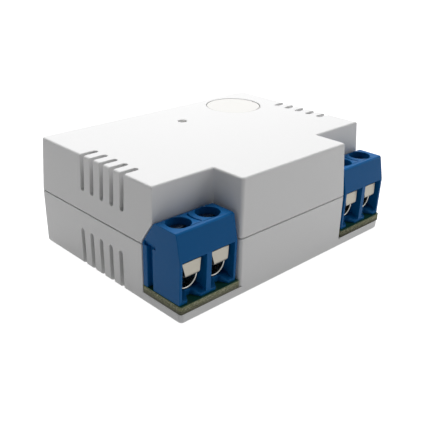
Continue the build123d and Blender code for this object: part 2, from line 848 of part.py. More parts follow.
def make_radio(left, right, front, back):
    """The radio board with its shield and its printed antenna."""
    top = board_top + radio_thickness
    near = left + antenna_line
    far = near + antenna_reach
    keep("radio_board", box_between((left, front, board_top), (right, back, top)))
    shield = box_between((far + part_space, front + shield_margin, top),
                         (right - close_space, back - shield_margin, top + shield_height))
    keep("radio_shield", fillet(shield.faces().sort_by(Axis.Z)[-1].edges(), shield_round))
    antenna_pitch = (back - front - antenna_margin * 2) / (antenna_turns - 1)
    start = front + antenna_margin
    high = top + antenna_height
    trace = None
    for i in range(antenna_turns):
        line_y = start + antenna_pitch * i
        arm = box_between((near, line_y - antenna_line / 2, top), (far, line_y + antenna_line / 2, high))
        trace = arm if trace is None else trace + arm
        if i < antenna_turns - 1:
            link_x = near if i % 2 else far - antenna_line
            next_y = line_y + antenna_pitch
            trace += box_between((link_x, line_y, top), (link_x + antenna_line, next_y, high))
    keep("radio_antenna", trace)


# Board, last, when every pin is known

def make_board():
    """The circuit board, whose two ears reach out under the terminal blocks."""
    low = board_underside
    high = board_top
    lean = lean_at(board_underside)
    body_x = half_length - wall - lean - board_gap
    body_back = half_width - wall - lean - board_gap
    bay_back = front_y + bay_depth + lean
    middle_x = step_x - wall - lean - board_gap
    middle_front = front_y + wall + lean + board_gap
    ear_out = half_length - lean
    ear_in = step_x + board_gap
    ear_front = front_y + lean
    board = box_between((-body_x, bay_back + board_gap, low), (body_x, body_back, high))
    board += box_between((-middle_x, middle_front, low), (middle_x, bay_back + ledge / 2, high))
    neck_front = bay_back - ledge / 2
    neck_back = bay_back + ledge / 2
    for side in (-1, 1):
        ear = sorted((side * ear_in, side * ear_out))
        neck = sorted((side * ear_in, side * body_x))
        plate = box_between((ear[0], ear_front, low), (ear[1], bay_back - board_gap - lean, high))
        uprights = plate.edges().filter_by(Axis.Z)
        outer_corner = uprights.sort_by(lambda edge: edge.center().Y - side * edge.center().X)[0]
        board += fillet(outer_corner, board_corner_radius)
        board += box_between((neck[0], neck_front, low), (neck[1], neck_back, high))
    solder = []
    for x, y, radius in pins:
        board -= rod(x, y, low - overcut, high + overcut, radius + pin_hole_gap)
        cone = Pos(x, y, low - pin_tail / 2) * Cone(radius + fit_gap, radius + solder_spread, pin_tail)
        solder.append(cone - rod(x, y, low - overcut, low + overcut, radius))
    keep("circuit_board", board)
    keep("solder_joints", Compound(solder))


# Places on the board and in the lid

button_x = half_length - button_from_end
button_y = half_width - button_from_back
light_y = half_width - light_from_back
relay_x = 0.0
relay_y = front_y + wall + relay_from_front + relay_length / 2
row_front = front_y + bay_depth + part_space
part_row_y = row_front + big_capacitor_radius
choke_x = relay_width / 2 + close_space + choke_radius
capacitor_x = half_length - wall - part_space - big_capacitor_radius
small_x = button_x - switch_side / 2 - part_space - small_capacitor_radius
resistor_x = -half_length + wall + part_space + resistor_radius
resistor_y = row_front + resistor_bend + resistor_length / 2
varistor_x = resistor_x + resistor_radius + part_space + varistor_thickness / 2
rectifier_x = -relay_width / 2 - close_space - leg_reach - rectifier_size[0] / 2
chip_x = relay_width / 2 + part_space + leg_reach + chip_size[0] / 2
chip_y = part_row_y + choke_radius + part_space + chip_size[1] / 2
radio_left = wall + post_margin + post_radius + close_space - half_length
radio_right = -led_size[0] / 2 - part_space * 2
radio_front = relay_y + relay_length / 2 + radio_from_relay
radio_back = half_width - wall - close_space

make_upper_shell()
make_lower_shell()
make_block("left", -half_length + block_side_gap)
make_block("right", half_length - block_side_gap - block_length)
make_button()
make_switch()
make_light()
make_relay()
make_capacitor("input_capacitor", capacitor_x, part_row_y, big_capacitor_radius, big_capacitor_height)
make_capacitor("output_capacitor", small_x, button_y, small_capacitor_radius, small_capacitor_height)
make_choke(choke_x, part_row_y)
make_fuse_resistor(resistor_x, resistor_y)
make_varistor(varistor_x, part_row_y)
make_chip("rectifier", rectifier_x, part_row_y, rectifier_size, 2, chip_leg_pitch * 2)
make_chip("supply_chip", chip_x, chip_y, chip_size, chip_legs_per_side, chip_leg_pitch)
make_radio(radio_left, radio_right, radio_front, radio_back)
make_board()

for name, shape in nodes.items():
    export_step(shape, f"parts/{name}.step")
print(len(nodes), "parts")
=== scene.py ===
# %% [markdown]
# # A small relay module for a wall box
# A white snap-fit case holds a relay, its power supply and a radio board. A blue screw terminal block
# stands in a bay at each front corner. The CAD model gives every size and every moving body, so this
# lesson dresses it: it models the pieces that catch the eye again, with softer edges, and gives each
# surface its finish.

# %% Load the CAD model
import json
import math
import bmesh
import bpy
from mathutils import Matrix, Vector

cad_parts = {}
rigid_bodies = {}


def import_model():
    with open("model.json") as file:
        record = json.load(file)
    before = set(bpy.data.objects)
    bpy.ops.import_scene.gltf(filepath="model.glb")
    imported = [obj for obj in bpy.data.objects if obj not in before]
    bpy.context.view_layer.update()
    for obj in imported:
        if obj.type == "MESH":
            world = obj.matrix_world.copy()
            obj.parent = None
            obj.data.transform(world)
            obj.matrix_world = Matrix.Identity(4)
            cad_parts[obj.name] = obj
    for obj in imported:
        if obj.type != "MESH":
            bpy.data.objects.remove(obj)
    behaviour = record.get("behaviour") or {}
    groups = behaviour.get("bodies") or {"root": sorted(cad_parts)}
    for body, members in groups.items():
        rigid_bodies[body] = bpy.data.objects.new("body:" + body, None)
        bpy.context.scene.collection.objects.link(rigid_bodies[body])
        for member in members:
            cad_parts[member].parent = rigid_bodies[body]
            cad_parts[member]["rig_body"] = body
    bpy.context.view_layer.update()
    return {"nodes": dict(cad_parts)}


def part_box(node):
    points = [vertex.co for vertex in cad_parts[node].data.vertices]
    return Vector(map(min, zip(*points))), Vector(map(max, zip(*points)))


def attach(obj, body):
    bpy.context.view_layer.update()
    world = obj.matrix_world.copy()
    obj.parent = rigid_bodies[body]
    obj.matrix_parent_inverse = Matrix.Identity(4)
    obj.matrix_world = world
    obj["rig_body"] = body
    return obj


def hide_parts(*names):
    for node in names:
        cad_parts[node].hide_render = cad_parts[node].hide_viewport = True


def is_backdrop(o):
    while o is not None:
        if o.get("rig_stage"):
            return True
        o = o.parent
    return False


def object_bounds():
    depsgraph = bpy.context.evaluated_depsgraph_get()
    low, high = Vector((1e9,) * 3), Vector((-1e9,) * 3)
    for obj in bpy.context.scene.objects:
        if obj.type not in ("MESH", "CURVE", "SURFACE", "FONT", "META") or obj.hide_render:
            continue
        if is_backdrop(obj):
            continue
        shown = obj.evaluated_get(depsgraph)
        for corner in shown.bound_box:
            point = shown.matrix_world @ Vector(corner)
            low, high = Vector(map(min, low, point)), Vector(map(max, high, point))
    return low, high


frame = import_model()
MM = 0.001
print("CAD nodes:", len(frame["nodes"]))

# %% [markdown]
# ## Camera
# The photograph was taken with a normal lens from the front left, a little above the case. A camera can be
# moved by hand until the picture looks right. Here it stands on a sphere round a target, because such
# values can be fitted to the corners of the case. Azimuth and elevation say where, and a slight roll tips
# the horizon.

# %% Place the camera
camera_azimuth = math.radians(-43.681)
camera_elevation = math.radians(24.381)
camera_roll = math.radians(0.944)
camera_distance = 107.816 * MM
camera_target = Vector((-1.011, 0.0, 4.191)) * MM
focal_length = 55.63
film_width = 36.0
nearest_seen = 5 * MM
farthest_seen = 10000 * MM


def add_camera():
    """Makes the camera from its angles, its distance and its target."""
    data = bpy.data.cameras.new("camera")
    data.sensor_width = film_width
    data.lens = focal_length
    data.clip_start = nearest_seen
    data.clip_end = farthest_seen
    camera = bpy.data.objects.new("camera", data)
    bpy.context.scene.collection.objects.link(camera)
    flat = math.cos(camera_elevation)
    back = Vector((math.sin(camera_azimuth) * flat, -math.cos(camera_azimuth) * flat,
                   math.sin(camera_elevation)))
    right = Vector((math.cos(camera_azimuth), math.sin(camera_azimuth), 0))
    up = back.cross(right)
    turn = Matrix((right, up, back)).transposed().to_4x4()
    place = Matrix.Translation(camera_target + back * camera_distance)
    camera.matrix_world = place @ turn @ Matrix.Rotation(camera_roll, 4, "Z")
    return camera


bpy.context.scene.camera = add_camera()
bpy.context.scene.view_settings.view_transform = "Standard"
print("Camera at mm:", [round(v / MM, 1) for v in bpy.context.scene.camera.location])

# %% [markdown]
# ## Colours and nodes
# Colours are written as hex values, as a paint chart gives them, and turned to the linear values that a
# shader needs. Nodes could be drawn by hand in the editor, but one small function that adds a node, sets
# it and links it lets a material read like a recipe.

# %% Helpers for materials
def colour(code):
    """Linear colour of a hex value such as #2866A8."""
    channels = [int(code[i:i + 2], 16) / 255 for i in (1, 3, 5)]
    linear = [c / 12.92 if c <= 0.04045 else ((c + 0.055) / 1.055) ** 2.4 for c in channels]
    return (*linear, 1.0)


def add_node(tree, kind, settings=None, links=None):
    """Adds a node, gives it its settings and socket values, and links its inputs."""
    node = tree.nodes.new(kind)
    for name, value in (settings or {}).items():
        if isinstance(name, int) or name in node.inputs:
            node.inputs[name].default_value = value
        else:
            setattr(node, name, value)
    for name, source in (links or {}).items():
        tree.links.new(source, node.inputs[name])
    return node


def start_material(name, base, roughness, metallic=0.0, settings=None):
    """A material with one Principled shader; gives the material, its tree and the shader."""
    material = bpy.data.materials.new(name)
    material.use_nodes = True
    tree = material.node_tree
    shader = tree.nodes["Principled BSDF"]
    shader.inputs["Base Color"].default_value = colour(base)
    shader.inputs["Roughness"].default_value = roughness
    shader.inputs["Metallic"].default_value = metallic
    for socket, value in (settings or {}).items():
        shader.inputs[socket].default_value = value
    return material, tree, shader


def add_grain(tree, shader, size, depth):
    """A fine bump: noise whose features are about size mm wide and depth mm deep."""
    place = add_node(tree, "ShaderNodeTexCoord")
    noise = add_node(tree, "ShaderNodeTexNoise", {"Scale": 1 / (size * MM), "Detail": 2.0},
                     {"Vector": place.outputs["Object"]})
    bump = add_node(tree, "ShaderNodeBump", {"Strength": 1.0, "Distance": depth * MM},
                    {"Height": noise.outputs["Fac"]})
    tree.links.new(bump.outputs["Normal"], shader.inputs["Normal"])
    return noise


print("The hex grey #808080 is this much light:", round(colour("#808080")[0], 3))

# %% [markdown]
# ## Studio light
# A large soft lamp stands behind the case, so the top is bright and the corner bays lie in shade. A weak
# one in front draws a sheen on the blocks, and the rest of the light on the front and the ends comes off
# the pale floor. The floor and the room are plain white where they are seen, so that the case stands on a
# clean ground. Stronger lamps would give that white too, but they would bleach the case.

# %% Light the studio
def add_lamp(name, place, size, power):
    """A square soft lamp that points at the middle of the case."""
    data = bpy.data.lights.new(name, "AREA")
    data.size = size
    data.energy = power
    lamp = bpy.data.objects.new(name, data)
    bpy.context.scene.collection.objects.link(lamp)
    lamp.location = place
    aim = Vector((0, 0, aim_height * MM)) - Vector(place)
    lamp.rotation_euler = aim.to_track_quat("-Z", "Y").to_euler()
    return lamp


def seen_directly(tree):
    """1 where the camera, a reflection or a clear piece sees the surface, and 0 for the light it gives."""
    path = add_node(tree, "ShaderNodeLightPath")
    sharp = add_node(tree, "ShaderNodeMath", {"operation": "MAXIMUM"},
                     {0: path.outputs["Is Camera Ray"], 1: path.outputs["Is Glossy Ray"]})
    return add_node(tree, "ShaderNodeMath", {"operation": "MAXIMUM"},
                    {0: sharp.outputs[0], 1: path.outputs["Is Transmission Ray"]}).outputs[0]


def light_world(ambient):
    """A white room: a weak even light, and plain white where it is seen."""
    world = bpy.data.worlds.new("white_room")
    world.use_nodes = True
    tree = world.node_tree
    level = add_node(tree, "ShaderNodeMapRange", {"To Min": ambient, "To Max": 1.0},
                     {"Value": seen_directly(tree)})
    tree.links.new(level.outputs["Result"], tree.nodes["Background"].inputs["Strength"])
    tree.nodes["Background"].inputs["Color"].default_value = colour("#FFFFFF")
    bpy.context.scene.world = world


def lay_floor(size, base, glow, lift):
    """A sheet of pale acrylic lit from below, lifted to white where it is seen."""
    shape = bmesh.new()
    bmesh.ops.create_grid(shape, x_segments=1, y_segments=1, size=size / 2)
    bmesh.ops.translate(shape, verts=shape.verts, vec=(0, 0, -floor_drop * MM))
    mesh = bpy.data.meshes.new("studio_floor")
    shape.to_mesh(mesh)
    shape.free()
    floor = bpy.data.objects.new("studio_floor", mesh)
    bpy.context.scene.collection.objects.link(floor)
    material, tree, shader = start_material("lit_pale_acrylic", base, 0.9)
    shader.inputs["Emission Color"].default_value = colour("#FFFFFF")
    level = add_node(tree, "ShaderNodeMapRange", {"To Min": glow, "To Max": lift},
                     {"Value": seen_directly(tree)})
    tree.links.new(level.outputs["Result"], shader.inputs["Emission Strength"])
    mesh.materials.append(material)
    floor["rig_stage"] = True


aim_height = 8
add_lamp("back_softbox", (0.10, 0.17, 0.38), size=0.3, power=2.0)
add_lamp("front_softbox", (0.30, -0.32, 0.22), size=0.3, power=0.36)
light_world(ambient=0.07)
# The floor lies 0.05 mm under the case, because two faces in one plane would flicker.
floor_drop = 0.05
lay_floor(3.0, "#A4A4A4", glow=0.36, lift=0.92)

# %% [markdown]
# ## Plastics
# Nearly all that shows is moulded plastic, and a mould prints its own surface on every part: sparks leave
# a grain, polish leaves a gloss. A flat colour would look like paper, so each plastic gets a faint bump
# from a noise, and its gloss varies with the same noise. Real grain is about 0.05 mm wide, too fine for
# the picture, and is drawn from two to ten times as coarse.

# %% Make the plastics
gloss_spread = 0.06


def moulded_plastic(name, base, roughness, grain_size, grain_depth, settings=None):
    """A plastic whose mould left a grain, and whose gloss varies a little from place to place."""
    material, tree, shader = start_material(name, base, roughness, settings=settings)
    grain = add_grain(tree, shader, grain_size, grain_depth)
    gloss = add_node(tree, "ShaderNodeMapRange",
                     {"To Min": roughness - gloss_spread, "To Max": roughness + gloss_spread},
                     {"Value": grain.outputs["Fac"]})
    tree.links.new(gloss.outputs["Result"], shader.inputs["Roughness"])
    return material


# The case comes from a mould etched by sparks: matt white, with highlights that break up into a haze.
white_abs = moulded_plastic("spark_textured_white_abs", "#E9E9E9", 0.52, 0.22, 0.005)
# The button is moulded the same way from a warmer batch, which sets it off from the lid.
button_abs = moulded_plastic("spark_textured_warm_white_abs", "#E8E7E4", 0.5, 0.22, 0.005)
# Nylon flows into every corner of a smooth mould: deep blue, with a weak and even sheen.
blue_nylon = moulded_plastic("moulded_blue_nylon", "#005C99", 0.46, 0.5, 0.006,
                             {"Specular IOR Level": 0.12})
# Black parts of the relay and the switch hold chopped glass, which leaves them satin.
black_pbt = moulded_plastic("moulded_black_pbt", "#17181A", 0.45, 0.3, 0.004)
# The relay's cover comes from a polished mould, so it shines and hardly shows a grain.
blue_pbt = moulded_plastic("moulded_glossy_blue_pbt", "#2F5B96", 0.28, 0.4, 0.0005)
# Chips are pressed in black epoxy full of ground quartz: dull, with a sandy face.
black_epoxy = moulded_plastic("transfer_moulded_black_epoxy", "#1B1B1D", 0.6, 0.12, 0.004)
# A varistor is dipped in liquid epoxy, which sets as a glossy skin with slow waves, about 1.2 mm long.
blue_epoxy = moulded_plastic("dipped_blue_epoxy", "#1F4F9C", 0.25, 1.2, 0.03)
# Rubber bungs are pressed from a soot black mix and throw back almost no light.
black_rubber = moulded_plastic("pressed_black_rubber", "#141414", 0.8, 0.2, 0.004)
# The lamp is resin cast over a yellow phosphor: glossy, and yellow even when it is off.
led_resin = moulded_plastic("cast_yellow_led_resin", "#E3CF72", 0.2, 0.5, 0.002)
# Ferrite is powder pressed and fired like clay: dark grey, dull and gritty.
ferrite = moulded_plastic("pressed_and_fired_ferrite", "#2C2A2A", 0.65, 0.1, 0.008)
# The light guide is moulded from clear polycarbonate and a little hazy, so its end looks pale, not black.
clear_rod, tree, shader = start_material("hazy_clear_polycarbonate", "#DADAD4", 0.25,
                                         settings={"Transmission Weight": 0.75, "IOR": 1.585})
print("Plastics:", len(bpy.data.materials))

# %% [markdown]
# ## Metals
# Stamped strip keeps the fine lines of the rolling mill, and plating dulls and spots them. A picture of
# brushed metal would need its own map on each piece, so a noise is stretched along the strip instead, and
# drives both the roughness and a slight bump. Real mill lines are about 0.01 mm wide. They would only
# blur, and are drawn from five to ten times as coarse.

# %% Make the metals
line_relief = 0.4
line_depth = 0.002
polished_by = 0.1
dulled_by = 0.12


def rolled_metal(name, base, roughness, line, stretch=(0.12, 1.0, 1.0), settings=None):
    """A metal with fine lines of a width in mm, drawn out along the axis with the smallest stretch."""
    material, tree, shader = start_material(name, base, roughness, 1.0, settings)
    place = add_node(tree, "ShaderNodeTexCoord")
    drawn = add_node(tree, "ShaderNodeVectorMath", {"operation": "MULTIPLY", 1: stretch},
                     {0: place.outputs["Object"]})
    lines = add_node(tree, "ShaderNodeTexNoise", {"Scale": 1 / (line * MM), "Detail": 3.0},
                     {"Vector": drawn.outputs["Vector"]})
    dull = add_node(tree, "ShaderNodeMapRange",
                    {"To Min": roughness - polished_by, "To Max": roughness + dulled_by},
                    {"Value": lines.outputs["Fac"]})
    tree.links.new(dull.outputs["Result"], shader.inputs["Roughness"])
    bump = add_node(tree, "ShaderNodeBump", {"Strength": line_relief, "Distance": line_depth * MM},
                    {"Height": lines.outputs["Fac"]})
    tree.links.new(bump.outputs["Normal"], shader.inputs["Normal"])
    return material


# The leaves are stamped from brass and tinned in a bath: a warm grey that blurs what it mirrors.
tinned_brass = rolled_metal("tin_plated_brass_strip", "#A09C92", 0.38, 0.08)
# The cages are bent from strip that was tinned bright, so their rims glint in the dark openings.
bright_tube = rolled_metal("bright_tinned_brass_tube", "#A8A8A4", 0.24, 0.08)
# Screws are turned from steel and zinc plated: a cool grey that mirrors sharply. Its grey is painted
# darker and bluer than zinc, as painted shade of the deep holes and painted reflection of their blue
# walls.
zinc_steel_painted_dark = rolled_metal("zinc_plated_steel_painted_dark", "#5C6671", 0.24, 0.1)
# Soft iron of the relay and the radio's shield is nickel plated: warm, with a soft shine.
nickel_iron = rolled_metal("nickel_plated_iron", "#B4AFA6", 0.34, 0.1)
# Springs are cut from hard rolled bronze, reddish, with mill lines that run along the blade.
bronze = rolled_metal("phosphor_bronze_strip", "#C08A5A", 0.3, 0.06, (1.0, 0.12, 1.0))
# Contacts are pressed from silver alloy: bright and nearly white.
silver = rolled_metal("silver_contact_alloy", "#D8D6D0", 0.25, 0.1)
# Capacitor cans are drawn from bare aluminium sheet: pale and satin.
aluminium = rolled_metal("drawn_aluminium", "#C4C6C9", 0.3, 0.08)
# Leads are copper wire pulled through a bath of tin: silvery, with no edge to catch the light.
tinned_wire = rolled_metal("tinned_copper_wire", "#C3C0B8", 0.3, 0.1)
# Solder froze as it flowed, so it is bright and has slow ripples, four times as wide as mill lines here.
solder = rolled_metal("tin_solder", "#B9BABB", 0.24, 0.4)
# The antenna is etched from copper and gold plated: warm yellow and smooth.
gold_track = rolled_metal("gold_plated_copper_track", "#D9A850", 0.28, 0.06)
# Winding wire is copper under clear enamel: orange brown, with a gloss that lies over the metal.
enamelled_copper = rolled_metal("enamelled_copper_wire", "#B0602F", 0.34, 0.1, (1.0, 1.0, 1.0),
                                {"Coat Weight": 0.8, "Coat Roughness": 0.12})
print("Metals and plastics:", len(bpy.data.materials))

# %% [markdown]
# ## Circuit board
# Solder mask is a glossy lacquer on both faces. The sawn edge shows the laminate: layers of glass cloth in
# yellow resin, with torn fibres, and a painted shade darkens it towards the lower face. A photograph could
# be laid on the edge, but a noise that is squeezed into level bands follows any board, as thick as it is.

# %% Make the board's finishes
# Lacquer is printed wet and levels out, so its gloss is broken only by the cloth's weave, 0.8 mm wide.
mask_green, tree, shader = start_material("green_solder_mask", "#1C563C", 0.3)
add_grain(tree, shader, 0.8, 0.004)
mask_blue, tree, shader = start_material("blue_solder_mask", "#14305C", 0.3)
add_grain(tree, shader, 0.8, 0.004)

cloth_tone = "#888B63"
resin_tone = "#3D422A"
fibre_end = "#C4C2AC"
mask_edge = "#3F5232"
# The tone of the painted shade along the lower face of a sawn edge.
painted_shade_tone = "#2E2C20"
fibre_relief = 0.012
# Fibres lie level, so the noise is drawn out along the board and squeezed across it.
fibre_run = (0.35, 0.35, 1.6)
# A noise seldom leaves its middle. That middle is spread over all the tones, and its peaks are torn ends.
spread = {"From Min": 0.35, "From Max": 0.65}
peaks = {"From Min": 0.54, "From Max": 0.66}
ends_per_layer = 2.4


def sawn_laminate(node, layers, shade):
    """The sawn edge of a board: bands of cloth and resin, with pale fibre ends.

    A thin line of mask lies along the top, and a painted shade as high as so many mm along the bottom.
    """
    low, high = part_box(node)
    layer = (high.z - low.z) / layers
    mask_line = shade / 7
    material, tree, shader = start_material(f"sawn_laminate_of_{node}", cloth_tone, 0.75)
    place = add_node(tree, "ShaderNodeTexCoord")
    cloth = add_node(tree, "ShaderNodeVectorMath", {"operation": "MULTIPLY", 1: fibre_run},
                     {0: place.outputs["Object"]})
    fibres = add_node(tree, "ShaderNodeTexNoise", {"Scale": 1 / layer, "Detail": 4.0, "Roughness": 0.65},
                      {"Vector": cloth.outputs["Vector"]})
    tone = add_node(tree, "ShaderNodeMapRange", spread, {"Value": fibres.outputs["Fac"]})
    tones = {"data_type": "RGBA", 6: colour(resin_tone), 7: colour(cloth_tone)}
    bands = add_node(tree, "ShaderNodeMix", tones, {0: tone.outputs["Result"]})
    ends = add_node(tree, "ShaderNodeTexNoise", {"Scale": ends_per_layer / layer, "Detail": 2.0},
                    {"Vector": cloth.outputs["Vector"]})
    torn = add_node(tree, "ShaderNodeMapRange", peaks, {"Value": ends.outputs["Fac"]})
    flecked = add_node(tree, "ShaderNodeMix", {"data_type": "RGBA", 7: colour(fibre_end)},
                       {0: torn.outputs["Result"], 6: bands.outputs[2]})
    height = add_node(tree, "ShaderNodeSeparateXYZ", links={"Vector": place.outputs["Object"]})
    over = add_node(tree, "ShaderNodeMath", {"operation": "GREATER_THAN", 1: high.z - mask_line * MM},
                    {0: height.outputs["Z"]})
    # Painted shade: the edge darkens from shade mm above its lower face down to that face.
    under = add_node(tree, "ShaderNodeMapRange", {"From Min": low.z + shade * MM, "From Max": low.z},
                     {"Value": height.outputs["Z"]})
    masked = add_node(tree, "ShaderNodeMix", {"data_type": "RGBA", 7: colour(mask_edge)},
                      {0: over.outputs[0], 6: flecked.outputs[2]})
    edge = add_node(tree, "ShaderNodeMix", {"data_type": "RGBA", 7: colour(painted_shade_tone)},
                    {0: under.outputs["Result"], 6: masked.outputs[2]})
    tree.links.new(edge.outputs[2], shader.inputs["Base Color"])
    bump = add_node(tree, "ShaderNodeBump", {"Strength": 1.0, "Distance": fibre_relief * MM},
                    {"Height": fibres.outputs["Fac"]})
    tree.links.new(bump.outputs["Normal"], shader.inputs["Normal"])
    return material


print("Finishes so far:", len(bpy.data.materials))

# %% [markdown]
# ## Pieces with soft edges
# Moulded and stamped parts never have knife edges, and an edge without a small round looks drawn, not
# made. The rounds could be cut in the CAD model, but they are too small to matter to it. So most pieces
# are copies of their CAD nodes: the loose triangles are merged, flat areas are joined into whole faces,
# and a narrow bevel rounds what is left sharp.

# %% Helpers for pieces
sharp_angle = math.radians(32)
flat_angle = math.radians(0.5)
# Perimeter squared over area: 16 for a square, and over 200 for a rim or a ring.
rim_limit = 200


def merged_copy(node, whole_faces=True):
    """The CAD node's surface as one closed skin, with its flat areas joined into whole faces or not.

    A long thin face, such as a rim, stays in triangles: as one face its hole would be filled.
    """
    shape = bmesh.new()
    shape.from_mesh(frame["nodes"][node].data)
    bmesh.ops.remove_doubles(shape, verts=shape.verts, dist=0.002 * MM)
    bmesh.ops.dissolve_limit(shape, angle_limit=flat_angle, verts=shape.verts, edges=shape.edges)
    split = [face for face in shape.faces if len(face.verts) > 4
             and (not whole_faces or face.calc_perimeter() ** 2 > rim_limit * face.calc_area())]
    bmesh.ops.triangulate(shape, faces=split)
    return shape


def finish_piece(name, shape, node, materials, soft=0.0):
    """Turns a bmesh into a piece that stands for a CAD node and moves with its body.

    Its sharp edges get a bevel of soft mm.
    """
    mesh = bpy.data.meshes.new(name)
    shape.to_mesh(mesh)
    shape.free()
    for material in materials:
        mesh.materials.append(material)
    mesh.shade_smooth()
    mesh.set_sharp_from_angle(angle=sharp_angle)
    piece = bpy.data.objects.new(name, mesh)
    bpy.context.scene.collection.objects.link(piece)
    if soft:
        bevel = piece.modifiers.new("soft_edges", "BEVEL")
        bevel.width = soft * MM
        bevel.segments = 2
        bevel.limit_method = "ANGLE"
        bevel.angle_limit = sharp_angle
        bevel.use_clamp_overlap = False
    flat = piece.modifiers.new("flat_faces_stay_flat", "WEIGHTED_NORMAL")
    flat.keep_sharp = True
    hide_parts(node)
    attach(piece, frame["nodes"][node]["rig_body"])
    return piece


def dress(node, material, soft=0.0):
    """A merged copy of a CAD node in one material."""
    return finish_piece(f"{node}_piece", merged_copy(node), node, [material], soft)


print("Edges count as sharp from", round(math.degrees(sharp_angle)), "degrees")

# %% [markdown]
# ## Case and blocks
# The case is two thin moulded halves, with a button and a light guide in the lid. Its edges were rounded
# in the mould, so the bevel is wide enough to catch a line of light. The blocks are full of holes, and one
# big face round a hole shades badly, so their large faces stay in triangles.

# %% Mouldings of the case
dress("upper_shell", white_abs, 0.09)
dress("lower_shell", white_abs, 0.09)
dress("button_cap", button_abs, 0.05)
dress("light_guide", clear_rod, 0.03)
for side in ("left", "right"):
    node = f"terminal_housing_{side}"
    block = merged_copy(node, whole_faces=False)
    finish_piece(f"{node}_piece", block, node, [blue_nylon], 0.07)

# %% [markdown]
# ## Boards in two finishes
# A board is one piece with two surfaces: mask on top and below, laminate on every cut edge. It could be
# split in two objects, but a mesh can hold both materials, and the direction of each face says which one
# it gets. Real cloth has a layer every 0.2 mm or so. Five layers are drawn, because finer bands would
# blur.

# %% Boards
def dress_board(node, mask, laminate):
    """A board with mask on its faces and bare laminate on every cut edge."""
    shape = merged_copy(node)
    for face in shape.faces:
        face.material_index = 0 if abs(face.normal.z) > 0.5 else 1
    finish_piece(f"{node}_piece", shape, node, [mask, laminate])


dress_board("circuit_board", mask_green,
            sawn_laminate("circuit_board", layers=5, shade=0.8))
dress_board("radio_board", mask_blue,
            sawn_laminate("radio_board", layers=5, shade=0.3))

# %% [markdown]
# ## Screws and clamps
# The screw is turned on a lathe, and is made the same way here: its half profile is spun about its axis,
# with one ring for each turn of thread, which looks like a thread and is far lighter than a helix. A
# boolean could cut the slot. Three plane cuts do it with cleaner faces: the strip between them is taken
# out, and flat faces close the walls and the floor. The leaves and cages keep the shape of their nodes.

# %% Spin a profile
def arc(middle, height, radius, start, end, step):
    """Points of an arc in a profile, from one angle to another, with a point every step degrees."""
    return [(middle + radius * math.cos(a), height + radius * math.sin(a))
            for a in [math.radians(degrees) for degrees in range(start, end + 1, step)]]


def lathe(profile, centre, steps=48, closed=False):
    """Spins a profile of (radius, height) points in mm about the upright line through centre."""
    shape = bmesh.new()
    rim = [shape.verts.new((centre.x + r * MM, centre.y, z * MM)) for r, z in profile]
    pairs = list(zip(rim, rim[1:]))
    if closed:
        pairs.append((rim[-1], rim[0]))
    lines = [shape.edges.new(pair) for pair in pairs]
    bmesh.ops.spin(shape, geom=rim + lines, cent=(centre.x, centre.y, 0), axis=(0, 0, 1),
                   angle=math.tau, steps=steps, use_merge=True)
    bmesh.ops.remove_doubles(shape, verts=shape.verts, dist=0.001 * MM)
    bmesh.ops.recalc_face_normals(shape, faces=shape.faces)
    return shape


# %% Outline of the screw and its slot
screw_pitch = 0.5
head_height = 1.0
head_overhang = 0.15
head_round = 0.2
head_chamfer = 0.05
slot_depth = 0.45
slot_half = 0.25
# Where the thread starts above the tip, and where its crest begins and ends, in turns.
thread_start = 0.75
crest_start = 0.4
crest_end = 0.6


def screw_profile(low, head_low, high, head, shank, pitch):
    """Half outline of a clamping screw: cut tip, rings of thread, round-edged head."""
    root = shank - pitch / 2
    turns = int((head_low - low - 2 * pitch) / pitch)
    points = [(0, low), (root - pitch / 4, low), (root, low + pitch / 4)]
    for turn in range(turns):
        start = low + pitch * (turn + thread_start)
        points += [(root, start), (shank, start + crest_start * pitch), (shank, start + crest_end * pitch)]
    points += [(root, head_low - pitch / 2), (root, head_low)]
    points += [(head - head_chamfer, head_low), (head, head_low + head_chamfer)]
    points += arc(head - head_round, high - head_round, head_round, 0, 90, 15)
    return points + [(0, high)]


def cut(shape, point, across):
    """Cuts every face where it passes through a plane."""
    bmesh.ops.bisect_plane(shape, geom=shape.verts[:] + shape.edges[:] + shape.faces[:],
                           plane_co=point, plane_no=across, dist=0.0001 * MM)


def cut_slot(shape, y, low, half):
    """Takes the strip of a head between two cuts and above low, and closes what is left open."""
    near = 0.001 * MM
    walls = (y - half, y + half)
    for wall in walls:
        cut(shape, (0, wall, 0), (0, 1, 0))
    cut(shape, (0, 0, low), (0, 0, 1))
    strip = [f for f in shape.faces
             if abs(f.calc_center_median().y - y) < half and f.calc_center_median().z > low]
    bmesh.ops.delete(shape, geom=strip, context="FACES")
    for wall in walls:
        side = [v for v in shape.verts if abs(v.co.y - wall) < near and v.co.z > low - near]
        bmesh.ops.contextual_create(shape, geom=side)
    ground = [v for v in shape.verts if abs(v.co.z - low) < near and abs(v.co.y - y) < half + near]
    bmesh.ops.contextual_create(shape, geom=ground)
    bmesh.ops.recalc_face_normals(shape, faces=shape.faces)


# %% Screws, leaves and cages
for side in ("left", "right"):
    for number in (1, 2):
        pole = f"{side}_{number}"
        node = f"clamp_screw_{pole}"
        low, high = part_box(node)
        middle = (low + high) / 2
        head_radius = (high.x - low.x) / 2 / MM
        outline = screw_profile(low.z / MM, high.z / MM - head_height, high.z / MM, head_radius,
                                head_radius - head_overhang, screw_pitch)
        screw = lathe(outline, middle)
        cut_slot(screw, middle.y, high.z - slot_depth * MM, slot_half * MM)
        finish_piece(f"{node}_piece", screw, node, [zinc_steel_painted_dark], 0.03)
        dress(f"clamp_leaf_{pole}", tinned_brass, 0.05)
        dress(f"contact_cage_{pole}", bright_tube, 0.11)
print("Points in a screw's outline:", len(outline))

# %% [markdown]
# ## Windings
# Enamelled wire lies in even rows. A curve could follow the real wire round and round, but hundreds of
# turns make a heavy mesh, so the half outline of a winding is a row of small arcs, one for each turn, and
# a full spin makes rings of it. On the choke, whose wire is thicker, the rows show from outside.

